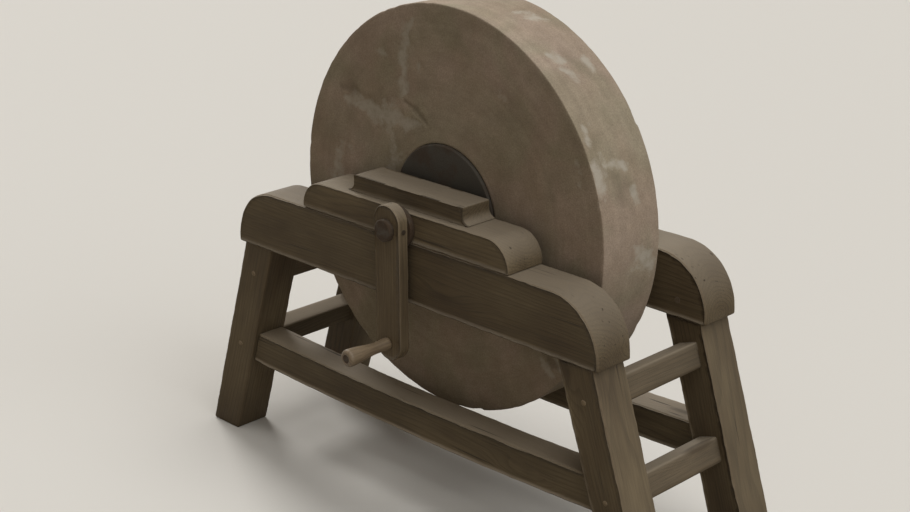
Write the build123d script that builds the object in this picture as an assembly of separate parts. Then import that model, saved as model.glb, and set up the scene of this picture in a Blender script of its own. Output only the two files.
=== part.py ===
from build123d import *
from math import cos, radians, sin, tan
import os

# A hand-cranked grindstone on a splayed timber trestle.
# Millimetres. X runs along the trestle, Y along the axle with the crank at -Y, Z is up.
# The origin lies on the floor, straight below the middle of the axle.

# Stone, hub and axle
stone_diameter = 700.0
stone_width = 135.0
stone_edge_round = 3.0
stone_bore = 92.0
hub_diameter = 230.0
hub_thickness = 18.0
hub_proud = 5.0
hub_edge = 2.0
hub_recess_gap = 0.6
axle_diameter = 38.0
axle_height = 526.0
axle_edge = 2.0
key_width = 10.0
key_height = 8.0
nut_width = 60.0
nut_thickness = 13.0
nut_edge = 2.0

# Timber trestle
stone_side_gap = 25.0
beam_length = 860.0
beam_height = 108.0
beam_thickness = 78.0
beam_corner_radius = 98.0
axle_above_beam = 24.0
leg_section = 70.0
leg_splay = 17.7
leg_end_setback = 12.0
leg_tenon_width = 40.0
leg_tenon_thickness = 26.0
leg_tenon_length = 62.0
stretcher_height = 60.0
stretcher_thickness = 54.0
stretcher_axis_height = 184.0
stretcher_sag = 9.0
stretcher_tenon_height = 38.0
stretcher_tenon_thickness = 20.0
stretcher_tenon_stop = 20.0
rung_width = 38.0
rung_height = 44.0
upper_rung_axis_height = 335.5
lower_rung_axis_drop = 1.0
rung_tenon_depths = {"upper": 30.0, "lower": 22.0}
rung_tenon_width = 20.0
rung_tenon_height = 30.0
timber_edge = 2.0
timber_fine_edge = 1.5

# Bearing blocks and their caps
block_length = 490.0
block_height = 51.0
cap_length = 284.0
cap_height = 29.0
cap_setback = 14.5
cap_cove_radius = 14.5

# Pegs and dowels
peg_diameter = 11.0
peg_proud = 1.2
peg_reach_into_rung = 12.0
leg_peg_rise = 30.0
leg_peg_stop = 16.0
block_dowel_diameter = 16.0
block_dowel_x = 170.0
block_dowel_up = 34.0
block_dowel_down = 42.0
cap_dowel_diameter = 12.0
cap_dowel_x = 95.0
cap_dowel_up = 17.0
cap_dowel_down = 26.0

# Crank and handle
washer_diameter = 72.0
washer_thickness = 10.0
arm_width = 60.0
arm_thickness = 20.0
arm_top_round_rise = 12.0
crank_throw = 200.0
axle_front_stub = 10.0
axle_rear_stub = 22.0
crank_pin_diameter = 8.0
crank_pin_proud = 1.5
linchpin_diameter = 9.0
linchpin_length = 64.0
handle_length = 94.0
handle_collar_diameter = 22.0
handle_collar_edge = 2.0
handle_waist_diameter = 19.5
handle_waist_place = 26.0
handle_outer_diameter = 30.0
handle_end_land = 1.5
spindle_arm_diameter = 14.0
spindle_diameter = 9.0
spindle_tail_diameter = 26.0
spindle_tail_thickness = 4.0
spindle_head_diameter = 14.0
spindle_head_thickness = 3.0

# Clearances
joint_clearance = 0.15
tenon_end_clearance = 1.0
running_clearance = 0.08
side_clearance = 0.35

# Places worked out from the dimensions above. One peg locks a rail's tongue and a lower
# rung's tongue in the leg, so the lower rungs take their height from the rails.
rung_axis_heights = {
    "upper": upper_rung_axis_height,
    "lower": stretcher_axis_height - lower_rung_axis_drop,
}
slope = tan(radians(leg_splay))
leg_run = leg_section / cos(radians(leg_splay))
beam_top = axle_height - axle_above_beam
beam_bottom = beam_top - beam_height
beam_inner_y = stone_width / 2 + stone_side_gap
beam_outer_y = beam_inner_y + beam_thickness
frame_y = (beam_inner_y + beam_outer_y) / 2
leg_inner_y = frame_y - leg_section / 2
leg_outer_y = frame_y + leg_section / 2
leg_top_x = beam_length / 2 - leg_end_setback
block_top = beam_top + block_height
cap_top = block_top + cap_height
cap_outer_y = beam_outer_y - cap_setback
hub_face_y = stone_width / 2 + hub_proud
hub_seat_y = hub_face_y - hub_thickness
washer_inner_y = beam_outer_y + side_clearance
arm_back_y = washer_inner_y + washer_thickness
arm_front_y = arm_back_y + arm_thickness
arm_mid_y = (arm_back_y + arm_front_y) / 2
spindle_z = axle_height - crank_throw


def leg_x(z, inward=0.0):
    """X of the right leg's outer face at height z, moved inward along X."""
    return leg_top_x + (beam_bottom - z) * slope - inward


def slab(points, y_start, y_end):
    """A flat piece cut to an outline of X, Z points."""
    corners = [(x, y_start, z) for x, z in points]
    face = make_face(Polyline(*corners, close=True))
    return extrude(face, amount=y_end - y_start, dir=(0, 1, 0))


def along_y(radius, y_start, y_end, x=0.0, z=0.0):
    """A round bar along Y."""
    bar = Cylinder(radius, abs(y_end - y_start), rotation=(90, 0, 0))
    return Pos(x, (y_start + y_end) / 2, z) * bar


def along_z(radius, z_start, z_end, x=0.0, y=0.0):
    """An upright round bar."""
    return Pos(x, y, (z_start + z_end) / 2) * Cylinder(radius, z_end - z_start)


def side_edges(shape, y_low, y_high):
    """The outline edges of a slab on its two broad faces."""
    edges = shape.edges().filter_by(lambda e: e.bounding_box().size.Y < 1e-6)
    near = lambda e: min(abs(e.center().Y - y_low), abs(e.center().Y - y_high)) < 1e-3
    return edges.filter_by(near)


def eased(shape, y_low, y_high, size):
    """A slab with its broad-face outline edges taken off."""
    return chamfer(side_edges(shape, y_low, y_high), size)


def four_ways(piece):
    """The front right, front left, rear right and rear left copies of a front right piece."""
    front_left = mirror(piece, Plane.YZ)
    rear_right = mirror(piece, Plane.XZ)
    rear_left = Rot(0, 0, 180) * piece
    return {
        "front_right": piece,
        "front_left": front_left,
        "rear_right": rear_right,
        "rear_left": rear_left,
    }


def leg_tenon(clearance, end_clearance):
    """The splayed tongue on top of a leg, or its mortise when given clearances."""
    half = leg_tenon_width / 2 + clearance
    mid = leg_run / 2
    z_low = beam_bottom - (0.0 if clearance else 5.0)
    z_high = beam_bottom + leg_tenon_length + end_clearance
    outline = [
        (leg_x(z_low, mid + half), z_low),
        (leg_x(z_low, mid - half), z_low),
        (leg_x(z_high, mid - half), z_high),
        (leg_x(z_high, mid + half), z_high),
    ]
    half_y = leg_tenon_thickness / 2 + clearance
    return slab(outline, -frame_y - half_y, -frame_y + half_y)


def stretcher_tenon(clearance, end_clearance):
    """The right-hand tongue of the front stretcher, or its mortise."""
    half = stretcher_tenon_height / 2 + clearance
    z_low = stretcher_axis_height - half
    z_high = stretcher_axis_height + half
    x_stop = leg_x(stretcher_axis_height, stretcher_tenon_stop) + end_clearance
    outline = [
        (leg_x(z_low, leg_run + 8), z_low),
        (x_stop, z_low),
        (x_stop, z_high),
        (leg_x(z_high, leg_run + 8), z_high),
    ]
    half_y = stretcher_tenon_thickness / 2 + clearance
    return slab(outline, -frame_y - half_y, -frame_y + half_y)


def rung_place(level):
    """Where the right-hand rung of a level sits, turned to the leg's splay."""
    z = rung_axis_heights[level]
    return Pos(leg_x(z, leg_run / 2), 0, z) * Rot(0, -leg_splay, 0)


def rung_tenon(level, clearance, end_clearance):
    """The square bar whose ends are a rung's two tongues."""
    reach = leg_inner_y + rung_tenon_depths[level] + end_clearance
    width = rung_tenon_width + 2 * clearance
    height = rung_tenon_height + 2 * clearance
    return rung_place(level) * Box(width, 2 * reach, height)


def rung_peg(level):
    """A peg from the outer face of the front right leg into the rung's end."""
    z = rung_axis_heights[level]
    y_head = -leg_outer_y - peg_proud
    y_tip = -leg_inner_y + peg_reach_into_rung
    return along_y(peg_diameter / 2, y_head, y_tip, leg_x(z, leg_run / 2), z)


def leg_peg():
    """The peg that locks the front right leg's tongue, driven from the hidden side."""
    z = beam_bottom + leg_peg_rise
    y_tip = -beam_outer_y + leg_peg_stop
    y_head = -beam_inner_y + peg_proud
    return along_y(peg_diameter / 2, y_tip, y_head, leg_x(z, leg_run / 2), z)


def block_dowel(x):
    """An upright dowel between the front beam and its bearing block."""
    z_low = beam_top - block_dowel_down
    return along_z(block_dowel_diameter / 2, z_low, beam_top + block_dowel_up, x, -frame_y)


def cap_dowel(x):
    """An upright dowel between the front bearing block and its cap."""
    y = -(beam_inner_y + cap_outer_y) / 2
    z_low = block_top - cap_dowel_down
    return along_z(cap_dowel_diameter / 2, z_low, block_top + cap_dowel_up, x, y)


def make_leg():
    """The front right leg: splayed along X, tongue on top, mortised for rail and rungs."""
    outline = [
        (leg_x(0), 0.0),
        (leg_x(beam_bottom), beam_bottom),
        (leg_x(beam_bottom, leg_run), beam_bottom),
        (leg_x(0, leg_run), 0.0),
    ]
    leg = slab(outline, -leg_outer_y, -leg_inner_y)
    long_edges = leg.edges().filter_by(lambda e: e.length > beam_bottom * 0.9)
    leg = chamfer(long_edges, timber_edge)
    foot = leg.edges().filter_by(lambda e: e.bounding_box().max.Z < 0.01)
    leg = chamfer(foot, timber_edge)
    leg += leg_tenon(0.0, 0.0)
    leg -= leg_peg()
    leg -= stretcher_tenon(joint_clearance, tenon_end_clearance)
    for level in rung_axis_heights:
        leg -= rung_tenon(level, joint_clearance, tenon_end_clearance)
        leg -= rung_peg(level)
    return leg


def make_front_beam():
    """The front top plank with its big rounded upper corners."""
    half = beam_length / 2
    r = beam_corner_radius
    low = beam_bottom
    top = beam_top
    bend = r * sin(radians(45))
    y = -beam_outer_y
    right_arc = ThreePointArc(
        (half, y, top - r), (half - r + bend, y, top - r + bend), (half - r, y, top)
    )
    left_arc = ThreePointArc(
        (-half + r, y, top), (-half + r - bend, y, top - r + bend), (-half, y, top - r)
    )
    edges = [
        Line((-half, y, low), (half, y, low)),
        Line((half, y, low), (half, y, top - r)),
        right_arc,
        Line((half - r, y, top), (-half + r, y, top)),
        left_arc,
        Line((-half, y, top - r), (-half, y, low)),
    ]
    beam = extrude(make_face(edges), amount=beam_thickness, dir=(0, 1, 0))
    beam = eased(beam, -beam_outer_y, -beam_inner_y, timber_edge)
    mortise = leg_tenon(joint_clearance, tenon_end_clearance)
    peg = leg_peg()
    beam -= mortise + mirror(mortise, Plane.YZ)
    beam -= peg + mirror(peg, Plane.YZ)
    for x in (-block_dowel_x, block_dowel_x):
        beam -= block_dowel(x)
    return beam


def make_front_block():
    """The lower bearing tier with quarter-round ends, bored for the axle."""
    half = block_length / 2
    r = block_height
    bend = r * sin(radians(45))
    y = -beam_outer_y
    low = beam_top
    edges = [
        Line((-half, y, low), (half, y, low)),
        ThreePointArc((half, y, low), (half - r + bend, y, low + bend), (half - r, y, low + r)),
        Line((half - r, y, low + r), (-half + r, y, low + r)),
        ThreePointArc((-half + r, y, low + r), (-half + r - bend, y, low + bend), (-half, y, low)),
    ]
    block = extrude(make_face(edges), amount=beam_thickness, dir=(0, 1, 0))
    top_edges = side_edges(block, -beam_outer_y, -beam_inner_y)
    block = chamfer(top_edges.filter_by(lambda e: e.center().Z > low + 1), timber_fine_edge)
    bore = axle_diameter / 2 + running_clearance
    block -= along_y(bore, -beam_outer_y - 1, -beam_inner_y + 1, 0, axle_height)
    for x in (-block_dowel_x, block_dowel_x):
        block -= block_dowel(x)
    for x in (-cap_dowel_x, cap_dowel_x):
        block -= cap_dowel(x)
    return block


def make_front_cap():
    """The upper bearing tier, set back at the front, with coved ends."""
    half = cap_length / 2
    r = cap_cove_radius
    bend = r * (1 - sin(radians(45)))
    y = -cap_outer_y
    low = block_top
    neck = half - r
    edges = [
        Line((-half, y, low), (half, y, low)),
        ThreePointArc((half, y, low), (neck + bend, y, low + bend), (neck, y, low + r)),
        Line((neck, y, low + r), (neck, y, cap_top)),
        Line((neck, y, cap_top), (-neck, y, cap_top)),
        Line((-neck, y, cap_top), (-neck, y, low + r)),
        ThreePointArc((-neck, y, low + r), (-neck - bend, y, low + bend), (-half, y, low)),
    ]
    cap = extrude(make_face(edges), amount=cap_outer_y - beam_inner_y, dir=(0, 1, 0))
    upper = cap.edges().filter_by(lambda e: e.center().Z > cap_top - 0.01)
    cap = chamfer(upper, timber_fine_edge)
    for x in (-cap_dowel_x, cap_dowel_x):
        cap -= cap_dowel(x)
    return cap


def make_front_stretcher():
    """The long lower rail, sagging a little, with a tongue at each end."""
    y = -frame_y - stretcher_thickness / 2
    z_low = stretcher_axis_height - stretcher_height / 2
    z_high = stretcher_axis_height + stretcher_height / 2
    x_low = leg_x(z_low, leg_run)
    x_high = leg_x(z_high, leg_run)
    edges = [
        ThreePointArc((-x_low, y, z_low), (0, y, z_low - stretcher_sag), (x_low, y, z_low)),
        Line((x_low, y, z_low), (x_high, y, z_high)),
        ThreePointArc((x_high, y, z_high), (0, y, z_high - stretcher_sag), (-x_high, y, z_high)),
        Line((-x_high, y, z_high), (-x_low, y, z_low)),
    ]
    rail = extrude(make_face(edges), amount=stretcher_thickness, dir=(0, 1, 0))
    rail = chamfer(rail.edges().filter_by(GeomType.CIRCLE), timber_edge)
    tenon = stretcher_tenon(0.0, 0.0)
    rail += tenon + mirror(tenon, Plane.YZ)
    peg = rung_peg("lower")
    rail -= peg + mirror(peg, Plane.YZ)
    return rail


def make_right_rung(level):
    """A right-hand cross rung, its section turned to the splay of the legs."""
    body = Box(rung_width, 2 * leg_inner_y, rung_height)
    body = chamfer(body.edges().filter_by(Axis.Y), timber_edge)
    rung = rung_place(level) * body + rung_tenon(level, 0.0, 0.0)
    peg = rung_peg(level)
    rung -= peg + mirror(peg, Plane.XZ)
    return rung


def make_grindstone():
    """The stone disc with a plain bore and a shallow hub recess on each face."""
    half = stone_width / 2
    stone = along_y(stone_diameter / 2, -half, half, 0, axle_height)
    rim = stone.edges().filter_by(GeomType.CIRCLE)
    stone = fillet(rim, stone_edge_round)
    stone -= along_y(stone_bore / 2, -half - 1, half + 1, 0, axle_height)
    recess = hub_diameter / 2 + hub_recess_gap
    for side in (-1, 1):
        stone -= along_y(recess, side * hub_seat_y, side * (half + 5), 0, axle_height)
    return stone


def make_hub_key():
    """The key between axle and front hub plate."""
    z = axle_height + axle_diameter / 2
    y = -(hub_face_y + hub_seat_y) / 2
    return Pos(0, y, z) * Box(key_width, hub_thickness, key_height)


def make_front_hub():
    """The front hub plate, a turned iron disc standing proud of the stone."""
    plate = along_y(hub_diameter / 2, -hub_face_y, -hub_seat_y, 0, axle_height)
    outer = plate.edges().filter_by(GeomType.CIRCLE)
    outer = outer.filter_by(lambda e: e.center().Y < -hub_face_y + 0.01)
    plate = chamfer(outer, hub_edge)
    plate -= along_y(axle_diameter / 2, -hub_face_y - 1, -hub_seat_y + 1, 0, axle_height)
    return plate


def make_hub_core():
    """The wooden core that centres the stone on the axle."""
    core = along_y(stone_bore / 2, -hub_seat_y, hub_seat_y, 0, axle_height)
    return core - along_y(axle_diameter / 2, -hub_seat_y - 1, hub_seat_y + 1, 0, axle_height)


def make_front_nut():
    """The square nut that clamps the front hub plate."""
    y_out = hub_face_y + nut_thickness
    nut = Pos(0, -(hub_face_y + y_out) / 2, axle_height) * Box(nut_width, nut_thickness, nut_width)
    nut = chamfer(nut.edges().filter_by(Axis.Y), nut_edge)
    return nut - along_y(axle_diameter / 2, -y_out - 1, -hub_face_y + 1, 0, axle_height)


def make_axle():
    """The iron axle, one diameter from end to end."""
    y_front = -arm_front_y - axle_front_stub
    y_rear = arm_back_y + axle_rear_stub
    axle = along_y(axle_diameter / 2, y_front, y_rear, 0, axle_height)
    axle = chamfer(axle.edges().filter_by(GeomType.CIRCLE), axle_edge)
    return axle - make_hub_key() - make_crank_pin() - make_linchpin()


def make_washer():
    """The front thrust washer between bearing block and crank arm."""
    washer = along_y(washer_diameter / 2, -arm_back_y, -washer_inner_y, 0, axle_height)
    washer = chamfer(washer.edges().filter_by(GeomType.CIRCLE), 1.0)
    return washer - along_y(axle_diameter / 2, -arm_back_y - 1, -washer_inner_y + 1, 0, axle_height)


def make_linchpin():
    """The pin through the rear end of the axle, behind the rear washer."""
    y = arm_back_y + linchpin_diameter / 2
    low = axle_height - linchpin_length / 2
    return along_z(linchpin_diameter / 2, low, low + linchpin_length, 0, y)


def make_crank_pin():
    """The cross pin that fixes the crank arm on the axle."""
    length = arm_width + 2 * crank_pin_proud
    pin = Cylinder(crank_pin_diameter / 2, length, rotation=(0, 90, 0))
    return Pos(0, -arm_mid_y, axle_height) * pin


def make_crank_arm():
    """The flat wooden arm with round ends, hanging straight down."""
    r = arm_width / 2
    z_top = axle_height + arm_top_round_rise
    z_low = spindle_z
    y = -arm_front_y
    edges = [
        Line((r, y, z_low), (r, y, z_top)),
        ThreePointArc((r, y, z_top), (0, y, z_top + r), (-r, y, z_top)),
        Line((-r, y, z_top), (-r, y, z_low)),
        ThreePointArc((-r, y, z_low), (0, y, z_low - r), (r, y, z_low)),
    ]
    arm = extrude(make_face(edges), amount=arm_thickness, dir=(0, 1, 0))
    arm = eased(arm, -arm_front_y, -arm_back_y, timber_fine_edge)
    arm -= along_y(axle_diameter / 2, -arm_front_y - 1, -arm_back_y + 1, 0, axle_height)
    arm -= along_y(spindle_arm_diameter / 2, -arm_front_y - 1, -arm_back_y + 1, 0, spindle_z)
    return arm - make_crank_pin()


def make_spindle():
    """The iron pin of the handle: tail behind the arm, shank, journal and outer head."""
    y_tail = -arm_back_y + spindle_tail_thickness
    y_head = -arm_front_y - handle_length
    y_neck = y_head + spindle_head_thickness
    spindle = along_y(spindle_tail_diameter / 2, -arm_back_y, y_tail, 0, spindle_z)
    spindle += along_y(spindle_arm_diameter / 2, -arm_front_y, -arm_back_y + 1, 0, spindle_z)
    spindle += along_y(spindle_diameter / 2, y_neck, -arm_front_y + 1, 0, spindle_z)
    spindle += along_y(spindle_head_diameter / 2, y_head, y_neck, 0, spindle_z)
    return spindle


def make_handle():
    """The turned wooden grip: collar, waist, a swell to the outer end and a domed end."""
    y_in = arm_front_y + side_clearance
    y_out = arm_front_y + handle_length
    r_collar = handle_collar_diameter / 2
    r_waist = handle_waist_diameter / 2
    r_out = handle_outer_diameter / 2
    bore = spindle_diameter / 2 + running_clearance
    pocket = spindle_head_diameter / 2 + side_clearance
    pocket_y = y_out - spindle_head_thickness - side_clearance
    dome = r_out - pocket - handle_end_land
    bend = dome * sin(radians(45))
    y_collar = y_in + handle_collar_edge
    y_dome = y_out - dome
    swell = Spline(
        (r_collar, -y_collar, 0),
        (r_waist, -y_in - handle_waist_place, 0),
        (r_out, -y_dome, 0),
        tangents=[(0, -1, 0), (0, -1, 0)],
    )
    end_arc = ThreePointArc(
        (r_out, -y_dome, 0),
        (r_out - dome + bend, -y_dome - bend, 0),
        (r_out - dome, -y_out, 0),
    )
    edges = [
        Line((bore, -y_in, 0), (r_collar - handle_collar_edge, -y_in, 0)),
        Line((r_collar - handle_collar_edge, -y_in, 0), (r_collar, -y_collar, 0)),
        swell,
        end_arc,
        Line((r_out - dome, -y_out, 0), (pocket, -y_out, 0)),
        Line((pocket, -y_out, 0), (pocket, -pocket_y, 0)),
        Line((pocket, -pocket_y, 0), (bore, -pocket_y, 0)),
        Line((bore, -pocket_y, 0), (bore, -y_in, 0)),
    ]
    return Pos(0, 0, spindle_z) * revolve(make_face(edges), axis=Axis.Y, revolution_arc=360)


def both_frames(front):
    """The front piece and its rear mirror copy."""
    return {"front": front, "rear": mirror(front, Plane.XZ)}


def group(shapes):
    """Equal fasteners kept as separate solids in one piece."""
    return Compound(children=[s.solid() if len(s.solids()) == 1 else s for s in shapes])


def build_parts():
    parts = {}
    for place, leg in four_ways(make_leg()).items():
        parts[place + "_leg"] = leg
    for side, shape in both_frames(make_front_beam()).items():
        parts[side + "_beam"] = shape
    for side, shape in both_frames(make_front_stretcher()).items():
        parts[side + "_stretcher"] = shape
    for side, shape in both_frames(make_front_block()).items():
        parts[side + "_bearing_block"] = shape
    for side, shape in both_frames(make_front_cap()).items():
        parts[side + "_bearing_cap"] = shape
    for level in rung_axis_heights:
        rung = make_right_rung(level)
        parts["right_" + level + "_rung"] = rung
        parts["left_" + level + "_rung"] = mirror(rung, Plane.YZ)
    pegs = []
    for level in rung_axis_heights:
        pegs += four_ways(rung_peg(level)).values()
    parts["rung_pegs"] = group(pegs)
    parts["leg_pegs"] = group(four_ways(leg_peg()).values())
    parts["block_dowels"] = group(four_ways(block_dowel(block_dowel_x)).values())
    parts["cap_dowels"] = group(four_ways(cap_dowel(cap_dowel_x)).values())

    front_hub = make_front_hub()
    parts["grindstone"] = make_grindstone()
    parts["front_hub_plate"] = front_hub - make_hub_key()
    parts["rear_hub_plate"] = mirror(front_hub, Plane.XZ)
    parts["hub_core"] = make_hub_core()
    parts["hub_key"] = make_hub_key()
    parts["hub_nuts"] = group(both_frames(make_front_nut()).values())
    parts["axle"] = make_axle()
    for side, shape in both_frames(make_washer()).items():
        parts[side + "_thrust_washer"] = shape
    parts["linchpin"] = make_linchpin()
    parts["crank_arm"] = make_crank_arm()
    parts["crank_pin"] = make_crank_pin()
    parts["handle_spindle"] = make_spindle()
    parts["crank_handle"] = make_handle()
    return parts


os.makedirs("parts", exist_ok=True)
for name, shape in build_parts().items():
    export_step(shape, "parts/" + name + ".step")
    print(name, round(shape.volume / 1000, 1), "cm3", len(shape.solids()), "solid")
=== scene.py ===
import math
import random

import bpy
import numpy as np
from mathutils import Matrix, Vector, noise
from mathutils.geometry import delaunay_2d_cdt


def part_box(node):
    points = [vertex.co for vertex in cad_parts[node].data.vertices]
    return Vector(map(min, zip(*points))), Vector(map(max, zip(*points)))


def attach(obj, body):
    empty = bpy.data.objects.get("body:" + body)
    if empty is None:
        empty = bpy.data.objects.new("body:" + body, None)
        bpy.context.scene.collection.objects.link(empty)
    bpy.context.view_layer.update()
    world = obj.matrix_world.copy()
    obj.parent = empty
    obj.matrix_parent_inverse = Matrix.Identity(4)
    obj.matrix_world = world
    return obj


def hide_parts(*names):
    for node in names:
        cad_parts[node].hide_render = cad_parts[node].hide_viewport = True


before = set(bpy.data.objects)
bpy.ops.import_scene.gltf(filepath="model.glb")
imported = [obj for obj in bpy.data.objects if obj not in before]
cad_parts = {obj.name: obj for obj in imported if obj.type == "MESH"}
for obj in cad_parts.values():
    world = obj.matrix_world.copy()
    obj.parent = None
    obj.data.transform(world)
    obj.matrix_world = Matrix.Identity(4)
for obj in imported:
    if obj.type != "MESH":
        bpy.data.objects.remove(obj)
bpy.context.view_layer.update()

MM = 0.001

# ---------------------------------------------------------------- sizes, in metres
LEG_SPLAY = math.radians(17.7)
LEG_SET_IN = 12 * MM
RAIL_SAG = 9 * MM
RAIL_HEIGHT = 60 * MM
RAIL_HALF = 27 * MM
BEAM_CORNER = 98 * MM
# A hair under half the arm's width, so that a flat is left between the two arcs of an end.
ARM_ROUND = 30 * MM * 0.99
RUNG_SECTION = (38 * MM, 44 * MM)
CAP_COVE = 14.5 * MM
CAP_LIP = 1.2 * MM
ARRIS = 4 * MM
PEG_RADIUS = 5.5 * MM
PEG_SUNK = 6 * MM
PEG_SIDES = 9
STONE_BORE = 46 * MM
STONE_ARRIS = 3 * MM
RECESS_GAP = 0.6 * MM
RECESS_LIP = 1.2 * MM
RECESS_WALL = 6 * MM
RECESS_FLOOR = 20 * MM
WELD_REACH = 0.01 * MM

# Spacing of mesh points, fine enough for the wane and the chips.
TIMBER_SPACING = 6.5 * MM
STONE_SPACING = 3.8 * MM
EDGE_STEPS = 3

# How deep wear goes into each surface.
WANE = 0.7 * MM
FACE_WEAR = 0.45 * MM
FACE_PITS = 0.35 * MM
RIM_HOLLOW = 1.1 * MM
RIM_WEAR = 0.5 * MM
RIM_PITS = 0.4 * MM
CHIP_DEPTH = 2.8 * MM
ARRIS_FRAY = 0.6 * MM
CHIP_REACH = 6 * MM
SPALL_DEPTH = 1.2 * MM
STROKE_STRAY = 4.5 * MM

# Seeds: the front timber has this one and the rear timber the next.
BEAM_SEED, BLOCK_SEED, CAP_SEED, RAIL_SEED = 11, 21, 31, 41
LEG_SEED, RUNG_SEED, ARM_SEED, PEG_SEED = 51, 55, 71, 5

ALONG, ACROSS, UP = (1, 0, 0), (0, 1, 0), (0, 0, 1)
SIDES = (("right", 1), ("left", -1))


def box_of(node_name):
    """A CAD node's lowest and highest corner as two numpy points."""
    low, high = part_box(node_name)
    return np.array(low), np.array(high)


def middle(node_name):
    """The middle of a CAD node's box."""
    low, high = box_of(node_name)
    return (low + high) / 2


def depth_of(node_name):
    """A CAD node's lowest and highest Y."""
    low, high = box_of(node_name)
    return low[1], high[1]


BEAM_LOW, BEAM_HIGH = box_of("front_beam")
STONE_LOW, STONE_HIGH = box_of("grindstone")
AXLE_Z = middle("grindstone")[2]
STONE_RADIUS = (STONE_HIGH[0] - STONE_LOW[0]) / 2
STONE_HALF = STONE_HIGH[1]
HUB_RADIUS = box_of("front_hub_plate")[1][0]
HUB_SEAT = -box_of("front_hub_plate")[1][1]
LEG_DEPTH = depth_of("front_right_leg")
LEG_RUN = (LEG_DEPTH[1] - LEG_DEPTH[0]) / math.cos(LEG_SPLAY)


def leg_edge(z, inward=0.0):
    """X of a right leg's outer face at height z, moved inward."""
    top = BEAM_HIGH[0] - LEG_SET_IN
    return top + (BEAM_LOW[2] - z) * math.tan(LEG_SPLAY) - inward


# ---------------------------------------------------------------- shader nodes
# Settings that many nodes share. TIMES_PLUS multiplies its first two inputs and adds the third.
COLOURS = ("data_type", "RGBA")
PLUS = ("operation", "ADD")
TIMES = ("operation", "MULTIPLY")
TIMES_PLUS = ("operation", "MULTIPLY_ADD")
LENGTH = ("operation", "LENGTH")
SCALED = ("operation", "SCALE")
SMOOTH = ("interpolation_type", "SMOOTHSTEP")


def linear(hex_colour):
    """An sRGB hex colour as linear red, green, blue and alpha."""
    parts = [int(hex_colour[i : i + 2], 16) / 255 for i in (1, 3, 5)]
    return tuple(c / 12.92 if c <= 0.04045 else ((c + 0.055) / 1.055) ** 2.4 for c in parts) + (1.0,)


def node(tree, kind, settings=(), **links):
    """Adds a shader node. settings are (input or property, value) pairs, and links join inputs to
    sockets: i0 is the first input, i1 the second, and any other key is an input's own name."""
    made = tree.nodes.new("ShaderNode" + kind)
    for key, value in settings:
        if isinstance(key, int) or key in made.inputs:
            made.inputs[key].default_value = value
        else:
            setattr(made, key, value)
    for key, socket in links.items():
        place = int(key[1:]) if key[1:].isdigit() else key
        tree.links.new(socket, made.inputs[place])
    return made


def new_material(name):
    """A material with only its surface shader and output; gives it, its tree and the shader."""
    material = bpy.data.materials.new(name)
    material.use_nodes = True
    tree = material.node_tree
    shader = next(n for n in tree.nodes if n.type == "BSDF_PRINCIPLED")
    return material, tree, shader


def seen_directly(tree):
    """1 for rays from the camera, from a mirror or through glass, and 0 for the rest."""
    path = node(tree, "LightPath").outputs
    seen = node(tree, "Math", [PLUS], i0=path["Is Camera Ray"], i1=path["Is Glossy Ray"])
    clamped = [PLUS, ("use_clamp", True)]
    seen = node(tree, "Math", clamped, i0=seen.outputs[0], i1=path["Is Transmission Ray"])
    return seen.outputs[0]


# ---------------------------------------------------------------- camera, light and floor
CAMERA_PLACE = (1.9619, -1.9901, 1.4436)
CAMERA_YAW, CAMERA_PITCH, CAMERA_ROLL = 45.23, -19.96, -0.18
LENS_MM = 68.39
PICTURE_WIDTH_MM = 36.0
FLOOR_REACH = 40.0
FAR = 100

# Bearing from +X towards +Y, height above the floor and breadth, all in degrees, then level and colour.
LAMPS = [
    ("window_behind_left", 156, 34, 22, 0.50, "#fffefc"),
    ("top_wash", 20, 74, 50, 0.41, "#fffefc"),
    ("right_end_wash", 0, 34, 40, 0.25, "#fafdff"),
    ("crank_side_wash", -46, 20, 50, 0.09, "#fff6e8"),
]


def add_camera():
    """A 68 mm lens on a 36 mm wide picture, off the trestle's front right corner."""
    data = bpy.data.cameras.new("bench_view")
    data.sensor_width = PICTURE_WIDTH_MM
    data.lens = LENS_MM
    data.clip_end = FAR
    camera = bpy.data.objects.new("bench_view", data)
    bpy.context.scene.collection.objects.link(camera)
    yaw = Matrix.Rotation(math.radians(CAMERA_YAW), 4, "Z")
    pitch = Matrix.Rotation(math.pi / 2 + math.radians(CAMERA_PITCH), 4, "X")
    roll = Matrix.Rotation(math.radians(CAMERA_ROLL), 4, "Z")
    camera.matrix_world = Matrix.Translation(CAMERA_PLACE) @ yaw @ pitch @ roll
    bpy.context.scene.camera = camera


def add_lamp(name, bearing, height, breadth, level, colour):
    """A broad even lamp. level is the share of a white surface's brightness that it gives one facing it."""
    data = bpy.data.lights.new(name, "SUN")
    data.angle = math.radians(breadth)
    data.energy = level * math.pi
    data.color = linear(colour)[:3]
    lamp = bpy.data.objects.new(name, data)
    bpy.context.scene.collection.objects.link(lamp)
    b, h = math.radians(bearing), math.radians(height)
    towards = Vector((math.cos(b) * math.cos(h), math.sin(b) * math.cos(h), math.sin(h)))
    lamp.rotation_euler = towards.to_track_quat("Z", "Y").to_euler()


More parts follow.
